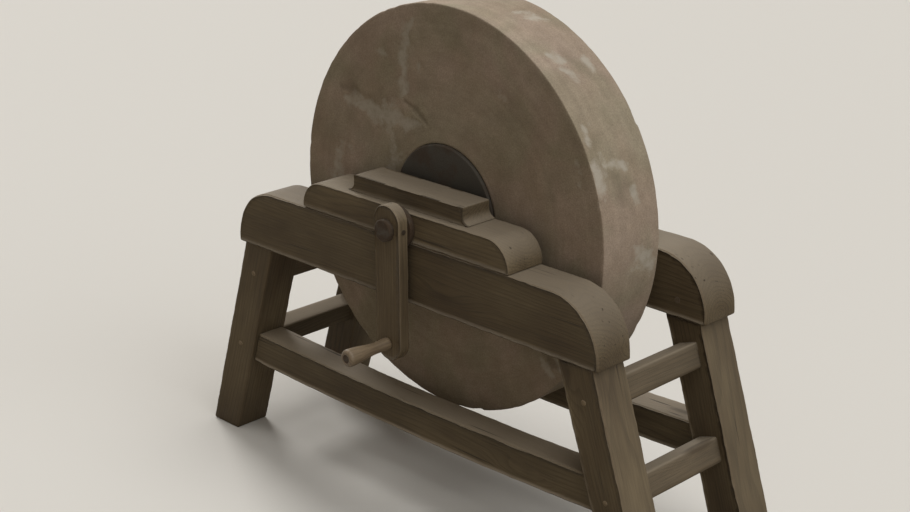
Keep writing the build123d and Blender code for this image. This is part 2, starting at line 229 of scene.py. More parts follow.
def add_floor():
    """A pale floor out to the horizon, but a mid grey to the light that it throws back, so that
    undersides stay deep."""
    far = FLOOR_REACH
    mesh = bpy.data.meshes.new("studio_floor")
    corners = [(-far, -far, 0), (far, -far, 0), (far, far, 0), (-far, far, 0)]
    mesh.from_pydata(corners, [], [(0, 1, 2, 3)])
    floor = bpy.data.objects.new("studio_floor", mesh)
    bpy.context.scene.collection.objects.link(floor)
    material, tree, shader = new_material("matt_floor_paint")
    colours = [COLOURS, (6, linear("#7a7367")), (7, linear("#dbd8d2"))]
    paint = node(tree, "Mix", colours, i0=seen_directly(tree))
    tree.links.new(paint.outputs[2], shader.inputs["Base Color"])
    shader.inputs["Roughness"].default_value = 0.9
    shader.inputs["Specular IOR Level"].default_value = 0.1
    mesh.materials.append(material)


def add_studio():
    """The floor, a faint warm glow from all round under an even pale sky, and four soft lamps."""
    add_floor()
    world = bpy.data.worlds.new("pale_studio")
    bpy.context.scene.world = world
    world.use_nodes = True
    tree = world.node_tree
    tree.nodes.clear()
    glow = node(tree, "Background", [("Color", linear("#fff0df")), ("Strength", 0.12)])
    shown = node(tree, "Background", [("Color", linear("#d9d6d0")), ("Strength", 1.0)])
    mix = node(tree, "MixShader", i0=seen_directly(tree), i1=glow.outputs[0], i2=shown.outputs[0])
    node(tree, "OutputWorld", i0=mix.outputs[0])
    for lamp in LAMPS:
        add_lamp(*lamp)
    bpy.context.scene.view_settings.view_transform = "Standard"


# ---------------------------------------------------------------- shared mesh work
def noise_at(points, size, seed, octaves=1):
    """Smooth noise from -1 to 1 at points in metres; size is the width of its lumps."""
    shift = Vector((seed * 7.31, seed * 3.17, seed * 5.77))
    total = np.zeros(len(points))
    for octave in range(octaves):
        scale = 2**octave / size
        total += np.array([noise.noise(Vector(p) * scale + shift) for p in points]) / 2**octave
    return total


def new_piece(name, verts, faces, material, body, nodes):
    """A smooth-shaded mesh piece that stands for CAD nodes and rides on their body."""
    mesh = bpy.data.meshes.new(name)
    mesh.from_pydata([tuple(v) for v in verts], [], [tuple(f) for f in faces])
    mesh.update()
    mesh.shade_smooth()
    mesh.materials.append(material)
    piece = bpy.data.objects.new(name, mesh)
    bpy.context.scene.collection.objects.link(piece)
    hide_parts(*nodes)
    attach(piece, body)
    return piece


def add_values(mesh, name, kind, values):
    """Stores one value a vertex for a material to read."""
    layer = mesh.attributes.new(name, kind, "POINT")
    field = "vector" if kind == "FLOAT_VECTOR" else "value"
    layer.data.foreach_set(field, np.asarray(values, np.float32).ravel())


def outline(corners, spacing):
    """A closed outline in X and Z from (x, z, radius) corners: arcs at the corners, divided sides."""
    count = len(corners)
    runs = []
    for i, (x, z, radius) in enumerate(corners):
        here = np.array([x, z])
        back = np.array(corners[i - 1][:2]) - here
        ahead = np.array(corners[(i + 1) % count][:2]) - here
        back, ahead = back / np.linalg.norm(back), ahead / np.linalg.norm(ahead)
        half = math.acos(np.clip(back @ ahead, -1, 1)) / 2
        reach = radius / math.tan(half)
        centre = here + (back + ahead) / np.linalg.norm(back + ahead) * radius / math.sin(half)
        start, end = here + back * reach - centre, here + ahead * reach - centre
        sweep = math.atan2(start[0] * end[1] - start[1] * end[0], start @ end)
        steps = max(3, math.ceil(abs(sweep) * radius / spacing))
        arc = []
        for k in range(steps + 1):
            c, s = math.cos(sweep * k / steps), math.sin(sweep * k / steps)
            arc.append(centre + (start[0] * c - start[1] * s, start[0] * s + start[1] * c))
        runs.append(arc)
    points = []
    for i, arc in enumerate(runs):
        points += arc
        gap = runs[(i + 1) % count][0] - arc[-1]
        steps = math.ceil(np.linalg.norm(gap) / spacing)
        points += [arc[-1] + gap * k / steps for k in range(1, steps)]
    kept = [p for i, p in enumerate(points) if np.linalg.norm(p - points[i - 1]) > 1e-6]
    return np.array(kept)


def mirrored(right):
    """An outline that is the same on both sides, from the corners of its right half."""
    return right + [(-x, z, radius) for x, z, radius in reversed(right)]


def outward(loop):
    """The outward normals of a closed loop that runs anticlockwise or clockwise in X, Z."""
    ahead = np.roll(loop, -1, 0)
    along = ahead - np.roll(loop, 1, 0)
    normal = np.stack([along[:, 1], -along[:, 0]], 1)
    area = np.sum(loop[:, 0] * ahead[:, 1] - ahead[:, 0] * loop[:, 1])
    return normal / np.linalg.norm(normal, axis=1)[:, None] * np.sign(area)


def inner_points(loop, spacing):
    """A staggered grid of points inside a closed loop, kept clear of its edge."""
    low, high = loop.min(0), loop.max(0)
    columns = np.arange(low[0] + spacing / 2, high[0], spacing)
    rows = np.arange(low[1] + spacing / 2, high[1], spacing * 0.9)
    grid = np.array([(x + (k % 2) * spacing / 2, z) for k, z in enumerate(rows) for x in columns])
    if not len(grid):
        return grid.reshape(0, 2)
    inside = np.zeros(len(grid), bool)
    nearest = np.full(len(grid), 1e9)
    for p, q in zip(loop, np.roll(loop, -1, 0)):
        d = q - p
        crosses = (p[1] > grid[:, 1]) != (q[1] > grid[:, 1])
        height = d[1] if abs(d[1]) > 1e-12 else 1e-12
        inside ^= crosses & (grid[:, 0] < p[0] + (grid[:, 1] - p[1]) / height * d[0])
        t = np.clip(((grid - p) @ d) / max(d @ d, 1e-12), 0, 1)
        nearest = np.minimum(nearest, np.linalg.norm(grid - p - t[:, None] * d, axis=1))
    return grid[inside & (nearest > spacing * 0.55)]


def facing_out(verts, faces):
    """Turns every face over if the closed mesh is inside out."""
    volume = 0.0
    for f in faces:
        for i in range(1, len(f) - 1):
            volume += np.dot(verts[f[0]], np.cross(verts[f[i]], verts[f[i + 1]]))
    return faces if volume > 0 else [f[::-1] for f in faces]


def point_normals(verts, faces):
    """Area-weighted normals of a mesh's points."""
    total = np.zeros_like(verts)
    quads = np.array([list(f) if len(f) == 4 else list(f) + [f[2]] for f in faces])
    one, two = verts[quads[:, 2]] - verts[quads[:, 0]], verts[quads[:, 3]] - verts[quads[:, 1]]
    across = np.cross(one, two)
    for k in range(4):
        np.add.at(total, quads[:, k], across)
    return total / np.maximum(np.linalg.norm(total, axis=1), 1e-12)[:, None]


# ---------------------------------------------------------------- timber
def close_end(verts, faces, wear, ring, count, y, spacing, flip):
    """Fills a timber's flat side inside the ring of points that starts at ring."""
    rim = np.array([verts[ring + i] for i in range(count)])[:, [0, 2]]
    points = [Vector(p) for p in np.concatenate([rim, inner_points(rim, spacing)])]
    made, _, cells, origin, _, _ = delaunay_2d_cdt(points, [], [list(range(count))], 1, 1e-7)
    index = {}
    for i, source in enumerate(origin):
        if source and source[0] < count:
            index[i] = ring + source[0]
        else:
            index[i] = len(verts)
            verts.append(np.array([made[i][0], y, made[i][1]]))
            wear.append(0.0)
    for cell in cells:
        order = [index[i] for i in cell]
        faces.append(order[::-1] if flip else order)


def timber_mesh(corners, y_low, y_high, edge, seed, spacing=TIMBER_SPACING):
    """A sawn timber: an outline taken through from y_low to y_high, every arris worn round.

    Gives the points, the faces and each point's wear, 1 on an arris and 0 on a flat."""
    loop = outline(corners, spacing)
    normal = outward(loop)
    count = len(loop)
    verts, wear, rings = [], [], []

    def add_ring(inset, y, worn):
        ring = loop - normal * np.asarray(inset)[:, None]
        rings.append(len(verts))
        verts.extend(np.stack([ring[:, 0], np.broadcast_to(y, count), ring[:, 1]], 1))
        wear.extend([worn] * count)

    def add_arris(size, y, inward, turn):
        """One ring of a rounded arris; turn goes from 0 on the flat round it to a right angle."""
        worn = math.sin(2 * turn) * 0.9 + 0.1
        add_ring(size * (1 - math.cos(turn)), y + inward * size * (1 - math.sin(turn)), worn)

    sizes = []
    for side, y in ((0, y_low), (1, y_high)):
        marks = np.stack([loop[:, 0], np.full(count, y), loop[:, 1]], 1)
        rough = 0.55 * noise_at(marks, 0.05, seed + side) + 0.45 * noise_at(marks, 0.013, seed + side + 9)
        sizes.append(edge * np.clip(0.8 + 0.9 * rough, 0.35, 1.6))
    for k in range(EDGE_STEPS + 1):
        add_arris(sizes[0], y_low, 1, math.pi / 2 * (1 - k / EDGE_STEPS))
    steps = max(1, round((y_high - y_low) / spacing))
    for k in range(1, steps):
        add_ring(np.zeros(count), y_low + (y_high - y_low) * k / steps, 0.0)
    for k in range(EDGE_STEPS + 1):
        add_arris(sizes[1], y_high, -1, math.pi / 2 * k / EDGE_STEPS)
    faces = []
    for low, high in zip(rings, rings[1:]):
        for i in range(count):
            j = (i + 1) % count
            faces.append((low + i, low + j, high + j, high + i))
    close_end(verts, faces, wear, rings[0], count, y_low, spacing, False)
    close_end(verts, faces, wear, rings[-1], count, y_high, spacing, True)
    return np.array(verts), faces, np.array(wear)


def add_timber(name, node_name, corners, span, way, seed, wood, body="stand", edge=3 * MM, sag=0.0):
    """Makes one timber for a CAD node, with waney flats, and the grain running along way."""
    verts, faces, wear = timber_mesh(corners, span[0], span[1], edge, seed)
    faces = facing_out(verts, faces)
    centre = (verts.min(0) + verts.max(0)) / 2
    if sag:
        half = verts[:, 0].max()
        verts[:, 2] -= sag * np.clip(1 - (verts[:, 0] / half) ** 2, 0, 1)
    normals = point_normals(verts, faces)
    waves = 0.5 + 0.5 * noise_at(verts, 0.11, seed + 3, 2)
    verts = verts - normals * (WANE * np.clip(waves, 0, 1.4))[:, None]

    length = np.array(way) / np.linalg.norm(way)
    depth = np.array([0.0, 1.0, 0.0]) if abs(length[1]) < 0.5 else np.array([1.0, 0.0, 0.0])
    width = np.cross(length, depth)
    chance = random.Random(seed)
    pith = (chance.choice((-1, 1)) * chance.uniform(30, 75) * MM, chance.uniform(-60, 60) * MM)
    local = verts - centre
    start = chance.uniform(0, 9)
    grain = np.stack([local @ length + start, local @ width + pith[0], local @ depth + pith[1]], 1)
    piece = new_piece(name, verts, faces, wood, body, [node_name])
    add_values(piece.data, "grain", "FLOAT_VECTOR", grain)
    add_values(piece.data, "wear", "FLOAT", wear)
    add_values(piece.data, "tone", "FLOAT", np.full(len(verts), chance.uniform(0, 1)))
    return piece


def add_beam(end, seed, oak):
    """A plank on edge with big rounded upper corners."""
    half, low, high = BEAM_HIGH[0], BEAM_LOW[2], BEAM_HIGH[2]
    corners = mirrored([(half, low, ARRIS), (half, high, BEAM_CORNER)])
    add_timber(end + "_top_plank", end + "_beam", corners, depth_of(end + "_beam"), ALONG, seed, oak)


def add_bearing_block(end, seed, oak):
    """The lower tier of a bearing, its ends a quarter round."""
    name = end + "_bearing_block"
    low, high = box_of(name)
    x, tier = high[0], high[2] - low[2]
    corners = mirrored([(x, low[2], ARRIS / 2), (x, high[2], tier - ARRIS)])
    add_timber(end + "_bearing_tier", name, corners, depth_of(name), ALONG, seed, oak, edge=1.6 * MM)


def add_bearing_cap(end, seed, oak):
    """The upper tier of a bearing, its ends hollowed to a cove above a thin lip."""
    name = end + "_bearing_cap"
    low, high = box_of(name)
    x, lip, neck = high[0], low[2] + CAP_LIP, high[0] - CAP_COVE
    corners = mirrored([
        (x, low[2], CAP_LIP * 0.3),
        (x, lip, CAP_LIP * 0.3),
        (neck, lip, CAP_COVE * 0.96),
        (neck, high[2], ARRIS * 0.6),
    ])
    add_timber(end + "_coved_cap", name, corners, depth_of(name), ALONG, seed, oak, edge=0.35 * MM)


def add_rail(end, seed, rail_oak):
    """A long low rail between two legs, cut to their splay and sagging a little."""
    name = end + "_stretcher"
    centre_y = middle(end + "_beam")[1]
    z_high = box_of(name)[1][2]
    z_low = z_high - RAIL_HEIGHT
    low_corner = (leg_edge(z_low, LEG_RUN), z_low, ARRIS)
    high_corner = (leg_edge(z_high, LEG_RUN), z_high, ARRIS)
    span = (centre_y - RAIL_HALF, centre_y + RAIL_HALF)
    corners = mirrored([low_corner, high_corner])
    add_timber(end + "_long_rail", name, corners, span, ALONG, seed, rail_oak, sag=RAIL_SAG)


def add_legs(oak):
    """Four legs, cut level at foot and shoulder, with the grain along their splay."""
    seed = LEG_SEED
    shoulder = BEAM_LOW[2]
    for end in ("front", "rear"):
        for side, sign in SIDES:
            name = end + "_" + side
            corners = [
                (sign * leg_edge(0), 0.0, ARRIS),
                (sign * leg_edge(shoulder), shoulder, ARRIS / 2),
                (sign * leg_edge(shoulder, LEG_RUN), shoulder, ARRIS / 2),
                (sign * leg_edge(0, LEG_RUN), 0.0, ARRIS),
            ]
            way = (-sign * math.sin(LEG_SPLAY), 0, math.cos(LEG_SPLAY))
            add_timber(name + "_splayed_leg", name + "_leg", corners, depth_of(name + "_leg"), way, seed, oak)
            seed += 1


def add_rungs(rail_oak, rung_oak):
    """Four cross rungs between front and rear legs, their sections turned to the splay."""
    seed = RUNG_SEED
    for level in ("upper", "lower"):
        for side, sign in SIDES:
            name = side + "_" + level + "_rung"
            centre = middle(name)
            inner = box_of("rear_" + side + "_leg")[0][1]
            c, s = math.cos(sign * LEG_SPLAY), math.sin(sign * LEG_SPLAY)
            corners = []
            for u, v in ((1, -1), (1, 1), (-1, 1), (-1, -1)):
                a, b = u * RUNG_SECTION[0] / 2, v * RUNG_SECTION[1] / 2
                corners.append((centre[0] + a * c - b * s, centre[2] + a * s + b * c, ARRIS))
            # Painted light: the left lower rung takes the rails' oak, whose paler top colour stands in for
            # the light falling on its top.
            wood = rail_oak if name == "left_lower_rung" else rung_oak
            add_timber(name + "_bar", name, corners, (-inner, inner), ACROSS, seed, wood, edge=0.4 * MM)
            seed += 1


def add_trestle(oak, rail_oak, rung_oak):
    """Every timber of the trestle, each on its own CAD node."""
    for k, end in enumerate(("front", "rear")):
        add_beam(end, BEAM_SEED + k, oak)
        add_bearing_block(end, BLOCK_SEED + k, oak)
        add_bearing_cap(end, CAP_SEED + k, oak)
        add_rail(end, RAIL_SEED + k, rail_oak)
    add_legs(oak)
    add_rungs(rail_oak, rung_oak)


def add_crank_arm(ash):
    """The flat wooden arm, round at both ends."""
    low, high = box_of("crank_arm")
    x = high[0]
    corners = mirrored([(x, low[2], ARM_ROUND), (x, high[2], ARM_ROUND)])
    span = depth_of("crank_arm")
    add_timber("wooden_crank_arm", "crank_arm", corners, span, UP, ARM_SEED, ash, body="wheel", edge=2 * MM)


def add_rung_pegs(oak):
    """Riven pegs with a low domed head, nine-sided as a knife leaves them."""
    verts, faces = [], []
    chance = random.Random(PEG_SEED)
    outer = box_of("rear_right_leg")[1][1]
    head = box_of("rung_pegs")[1][1]
    # Each row's distance out and its share of the peg's radius, up over the head's dome.
    rows = [(outer - PEG_SUNK, 1.0), (head - 0.9 * MM, 1.0), (head - 0.3 * MM, 0.86), (head, 0.5)]

    def add_peg(centre, sign):
        start = len(verts)
        spin = chance.uniform(0, 1)
        radii = [PEG_RADIUS * chance.uniform(0.86, 1.0) for _ in range(PEG_SIDES)]
        for y, share in rows:
            for k, radius in enumerate(radii):
                a = spin + 2 * math.pi * k / PEG_SIDES
                x, z = radius * share * math.cos(a), radius * share * math.sin(a)
                verts.append((centre[0] + x, sign * y, centre[2] + z))
        for row in range(len(rows) - 1):
            first = start + row * PEG_SIDES
            for k in range(PEG_SIDES):
                a, b = first + k, first + (k + 1) % PEG_SIDES
                quad = (a, b, b + PEG_SIDES, a + PEG_SIDES)
                faces.append(quad if sign < 0 else quad[::-1])
        top = [start + (len(rows) - 1) * PEG_SIDES + k for k in range(PEG_SIDES)]
        bottom = [start + k for k in range(PEG_SIDES)]
        faces.append(top if sign < 0 else top[::-1])
        faces.append(bottom[::-1] if sign < 0 else bottom)

    for level in ("upper", "lower"):
        for side, _ in SIDES:
            for sign in (-1, 1):
                add_peg(middle(side + "_" + level + "_rung"), sign)
    verts = np.array(verts)
    piece = new_piece("riven_rung_pegs", verts, faces, oak, "stand", ["rung_pegs"])
    add_values(piece.data, "grain", "FLOAT_VECTOR", verts[:, [1, 0, 2]])
    # Painted highlight: full rub and a pale tone make the peg heads paler, standing in for the light caught
    # on each domed head.
    add_values(piece.data, "wear", "FLOAT", np.full(len(verts), 0.8))
    add_values(piece.data, "tone", "FLOAT", np.full(len(verts), 0.9))


def oak_knots(tree, grain):
    """Knots a thumb across, one to a half metre or so, where the cell they fall in allows one.

    Gives how far the grain swells round them, and their dark hearts."""
    cells = node(tree, "Mapping", [("Scale", (3.2, 13, 13))], Vector=grain)
    cell = node(tree, "TexVoronoi", [("Scale", 1.0), ("Randomness", 0.9)], Vector=cells.outputs[0])
    chance = node(tree, "SeparateXYZ", i0=cell.outputs["Color"])
    allowed = node(tree, "Math", [("operation", "GREATER_THAN"), (1, 0.62)], i0=chance.outputs[0])
    found = []
    for outer, inner in ((0.42, 0.0), (0.16, 0.07)):
        reach = [SMOOTH, ("From Min", outer), ("From Max", inner)]
        near = node(tree, "MapRange", reach, Value=cell.outputs["Distance"])
        kept = node(tree, "Math", [TIMES], i0=near.outputs[0], i1=allowed.outputs[0])
        found.append(kept.outputs[0])
    return found


def oak_rings(tree, grain, swell):
    """Late wood of rings 6 mm apart round the pith, bent by slow drift and pushed out by knots."""
    slow = node(tree, "Mapping", [("Scale", (2.2, 9, 9))], Vector=grain)
    drift = node(tree, "TexNoise", [("Scale", 1.0), ("Detail", 2.0)], Vector=slow.outputs[0])
    parts = node(tree, "SeparateXYZ", i0=grain)
    flat = node(tree, "CombineXYZ", i1=parts.outputs[1], i2=parts.outputs[2])
    radius = node(tree, "VectorMath", [LENGTH], i0=flat.outputs[0])
    bent = node(tree, "Math", [TIMES_PLUS, (1, 0.045)], i0=drift.outputs[0], i2=radius.outputs["Value"])
    bent = node(tree, "Math", [TIMES_PLUS, (1, 0.022)], i0=swell, i2=bent.outputs[0])
    # Good and bad years: rings from 4 to 10 mm.
    one_way = [("noise_dimensions", "1D"), ("Scale", 45.0), ("Detail", 1.0)]
    years = node(tree, "TexNoise", one_way, W=bent.outputs[0])
    uneven = node(tree, "Math", [TIMES_PLUS, (1, 0.009)], i0=years.outputs[0], i2=bent.outputs[0])
    turns = node(tree, "Math", [TIMES, (1, 1 / 0.006)], i0=uneven.outputs[0])
    ring = node(tree, "Math", [("operation", "FRACT")], i0=turns.outputs[0])
    late = node(tree, "MapRange", [SMOOTH, ("From Min", 0.45), ("From Max", 0.95)], Value=ring.outputs[0])
    return late.outputs[0]


def oak_fibre(tree, grain, swell):
    """Pores and fibres, drawn 2 mm wide so that they show, and 60 mm long. They part round a knot."""
    parts = node(tree, "SeparateXYZ", i0=grain)
    sway = node(tree, "Math", [TIMES_PLUS, (1, 0.02)], i0=swell, i2=parts.outputs[1])
    swayed = node(tree, "CombineXYZ", i0=parts.outputs[0], i1=sway.outputs[0], i2=parts.outputs[2])
    fine = node(tree, "Mapping", [("Scale", (16, 420, 420))], Vector=swayed.outputs[0])
    threads = [("Scale", 1.0), ("Detail", 4.0), ("Roughness", 0.65)]
    return node(tree, "TexNoise", threads, Vector=fine.outputs[0]).outputs[0]


def aged_oak(name, pale, dark, worn, weathered_and_lit_top):
    """Sawn oak gone brown with age: broad rings, short dark pores, dry cracks and rubbed arrises.

    It looks matt and dry and paler where hands and tools wore it. Its top colour is weathered grey on most
    timbers and partly painted light on the rails and rungs, where it stands in for light falling on their
    tops."""
    material, tree, shader = new_material(name)
    grain = node(tree, "Attribute", [("attribute_name", "grain")]).outputs["Vector"]
    wear = node(tree, "Attribute", [("attribute_name", "wear")]).outputs["Fac"]
    tone = node(tree, "Attribute", [("attribute_name", "tone")]).outputs["Fac"]
    swell, heart = oak_knots(tree, grain)
    late = oak_rings(tree, grain, swell)
    fibre = oak_fibre(tree, grain, swell)
    # Drying cracks: thin dark lines a hand long.
    sparse = node(tree, "Mapping", [("Scale", (5, 150, 150))], Vector=grain)
    split = node(tree, "TexNoise", [("Scale", 1.0), ("Detail", 1.5)], Vector=sparse.outputs[0])
    crack = node(tree, "MapRange", [("From Min", 0.69), ("From Max", 0.76)], Value=split.outputs[0])
    # Stains as broad as a hand.
    broad = node(tree, "Mapping", [("Scale", (5, 14, 14))], Vector=grain)
    stain = node(tree, "TexNoise", [("Scale", 1.0), ("Detail", 3.0)], Vector=broad.outputs[0])
    blot = node(tree, "MapRange", [("From Min", 0.35), ("From Max", 0.68)], Value=stain.outputs[0])

    body = node(tree, "Mix", [COLOURS, (6, linear(pale)), (7, linear(dark))], i0=blot.outputs[0])
    streaks = [("From Min", 0.3), ("From Max", 0.7), ("To Min", 0.74), ("To Max", 1.2)]
    streaked = node(tree, "MapRange", streaks, Value=fibre)
    ringed = node(tree, "MapRange", [("To Min", 1.05), ("To Max", 0.84)], Value=late)
    shade = node(tree, "Math", [TIMES], i0=streaked.outputs[0], i1=ringed.outputs[0])
    timber_tone = node(tree, "MapRange", [("To Min", 0.9), ("To Max", 1.1)], Value=tone)
    shade = node(tree, "Math", [TIMES], i0=shade.outputs[0], i1=timber_tone.outputs[0])
    tinted = node(tree, "VectorMath", [SCALED], i0=body.outputs[2], Scale=shade.outputs[0])

    # Tops take the top colour: weathered grey, and on the rails and rungs a paler painted light for the light
    # falling on them. Hands and tools rub the upper arrises and miss the ones underneath.
    geometry = node(tree, "NewGeometry")
    facing = node(tree, "SeparateXYZ", i0=geometry.outputs["Normal"])
    tops = [("From Min", 0.15), ("From Max", 0.9), ("To Max", 0.6)]
    upward = node(tree, "MapRange", tops, Value=facing.outputs[2])
    hands = [("From Min", -0.3), ("From Max", 0.15), ("To Min", 0.05), ("To Max", 0.55)]
    reached = node(tree, "MapRange", hands, Value=facing.outputs[2])
    rubbed = node(tree, "Math", [TIMES], i0=wear, i1=reached.outputs[0])
    knotted = node(tree, "Math", [TIMES, (1, 0.62)], i0=heart)
    lines = node(tree, "Math", [TIMES, (1, 0.7)], i0=crack.outputs[0])
    # Feet dark with damp for the lowest hand's breadth.
    place = node(tree, "TexCoord")
    height = node(tree, "SeparateXYZ", i0=place.outputs["Object"])
    wavy = node(tree, "Math", [TIMES_PLUS, (1, 0.08)], i0=stain.outputs[0], i2=height.outputs[2])
    wet = [("From Min", 0.13), ("From Max", 0.04), ("To Max", 0.5)]
    damp = node(tree, "MapRange", wet, Value=wavy.outputs[0])
    colour = tinted.outputs[0]
    over = ((upward, weathered_and_lit_top), (rubbed, worn), (knotted, "#3b2e20"), (lines, "#2a2118"), (damp, "#3f3427"))
    for share, tint in over:
        laid = node(tree, "Mix", [COLOURS, (7, linear(tint))], i0=share.outputs[0], i6=colour)
        colour = laid.outputs[2]
    tree.links.new(colour, shader.inputs["Base Color"])

    rough = node(tree, "MapRange", [("To Min", 0.62), ("To Max", 0.86)], Value=fibre)
    tree.links.new(rough.outputs[0], shader.inputs["Roughness"])
    shader.inputs["Specular IOR Level"].default_value = 0.3
    relief = node(tree, "Math", [TIMES_PLUS, (1, -1.6)], i0=crack.outputs[0], i2=fibre)
    relief = node(tree, "Math", [TIMES_PLUS, (1, -0.35)], i0=late, i2=relief.outputs[0])
    bump = node(tree, "Bump", [("Strength", 0.55), ("Distance", 0.0009)], Height=relief.outputs[0])
    tree.links.new(bump.outputs[0], shader.inputs["Normal"])
    return material


# ---------------------------------------------------------------- stone
# Scrapes on the crank side, as (angle in degrees, radius, width in mm) points round the axle, and a
# depth in mm.
FACE_SCRAPES = [
    ([(103, 322, 7), (107, 306, 15), (109, 281, 13), (114, 244, 20), (116, 214, 15)], 1.0),
    (
        [
            (148, 290, 9), (146, 267, 16), (143, 238, 19), (138, 206, 29), (132, 188, 26),
            (123, 163, 13), (114, 152, 9),
        ],
        1.0,
    ),
    ([(166, 268, 9), (174, 272, 15), (181, 280, 28)], 0.7),
    ([(140, 166, 17), (150, 142, 26), (158, 134, 28), (166, 150, 24)], 0.5),
    ([(122, 291, 13), (122, 286, 13)], 0.5),
    ([(104, 249, 9), (104, 243, 9)], 0.5),
    ([(167, 236, 12), (167, 230, 12)], 0.5),
    ([(-43, 300, 6), (-43, 318, 9), (-42, 334, 7)], 1.3),
    ([(-38, 320, 6), (-39, 338, 8)], 1.1),
    ([(20, 318, 9), (26, 322, 12)], 0.45),
    ([(62, 262, 8), (58, 256, 10)], 0.4),
]
FACE_CRACKS = [
    ([(119, 196, 4), (113, 172, 8), (107, 150, 5)], 1.4),
    ([(147, 306, 9), (145, 292, 14), (142, 279, 8)], 0.8),
    ([(-40, 296, 6), (-40, 316, 9), (-39, 330, 6)], 1.6),
]
# Scrapes on the rim, as (angle in degrees, distance along the axle, width in mm) points, and a depth.
RIM_SCRAPES = [
    ([(76, 12, 10), (73, 28, 24), (70, 42, 12)], 0.7),
    ([(57, -27, 8), (55, -15, 14), (54, -5, 9)], 1.1),
    ([(52, -22, 9), (49, -10, 14)], 1.0),
    ([(52, 38, 13), (50, 41, 15)], 1.0),
    ([(34, -47, 13), (31, -54, 18)], 0.8),
    ([(25, -62, 14), (22, -57, 28), (18, -54, 17)], 1.0),
    ([(24, -34, 10), (24, -12, 15), (22, 10, 11)], 0.8),
    ([(16, 14, 13), (14, 15, 13)], 0.9),
    ([(1, 4, 12), (-4, 36, 27), (-7, 53, 17)], 0.8),
    ([(-38, -30, 10), (-44, 0, 14)], 1.0),
    ([(101, -30, 9), (108, -8, 16)], 0.9),
    ([(140, -20, 10), (152, 10, 16)], 1.0),
    ([(205, 30, 9), (216, 8, 15)], 1.0),
]
# Darker, damp-looking patches on the rim.
RIM_STAINS = [
    ([(55, 6, 14), (51, 15, 17)], 0.5),
    ([(20, -22, 14), (17, -11, 24), (13, -6, 13)], 0.5),
    ([(120, 20, 16), (128, 4, 24)], 0.5),
]
# The rim is unrolled from this angle, where no stroke lies.
RIM_SEAM = math.radians(250)


def stroke_strength(places, line, ragged):
    """How strongly a stroke marks each place: 1 along its line, fading to 0 past its width.

    line holds (first, second, width) points in metres. ragged widens or narrows it place by place."""
    strength = np.zeros(len(places))
    for a, b in zip(line, line[1:]):
        d = b[:2] - a[:2]
        t = np.clip(((places - a[:2]) @ d) / (d @ d), 0, 1)
        away = np.linalg.norm(places - a[:2] - t[:, None] * d, axis=1)
        width = (a[2] + (b[2] - a[2]) * t) * ragged
        strength = np.maximum(strength, np.clip(1.25 - away / np.maximum(width, 1e-6), 0, 1))
    return strength


def on_face_points(line):
    """(angle, radius, width) points of a scrape as X and Z from the axle, in metres."""
    turned = [(math.radians(angle), radius, width) for angle, radius, width in line]
    return [np.array([r * math.cos(a), r * math.sin(a), w]) * MM for a, r, w in turned]


def on_rim_points(line):
    """(angle, along the axle, width) points of a scrape as arc length and Y, in metres."""
    return [np.array([math.radians(a) * STONE_RADIUS, y * MM, w * MM]) for a, y, w in line]


def stone_profile():
    """(radius, y) rows of the stone from the bore round one face, the rim and the other face."""
    recess = HUB_RADIUS + RECESS_GAP
    half = STONE_HALF
    start, end = recess + RECESS_LIP, STONE_RADIUS - STONE_ARRIS
    front = [
        (STONE_BORE, -HUB_SEAT),
        (recess - RECESS_FLOOR, -HUB_SEAT),
        (recess, -HUB_SEAT),
        (recess, -HUB_SEAT - RECESS_WALL),
        (recess, -half + RECESS_LIP),
        (start, -half),
    ]
    count = round((end - start) / STONE_SPACING)
    front += [(start + (end - start) * k / count, -half) for k in range(1, count + 1)]
    for k in range(1, 4):
        a = math.pi / 2 * k / 3
        front.append((end + STONE_ARRIS * math.sin(a), -half + STONE_ARRIS * (1 - math.cos(a))))
    width = 2 * half - 2 * STONE_ARRIS
    rows = round(width / STONE_SPACING)
    rim = [(STONE_RADIUS, -half + STONE_ARRIS + width * k / rows) for k in range(1, rows)]
    rear = [(r, -y) for r, y in reversed(front)]
    return front + rim + rear


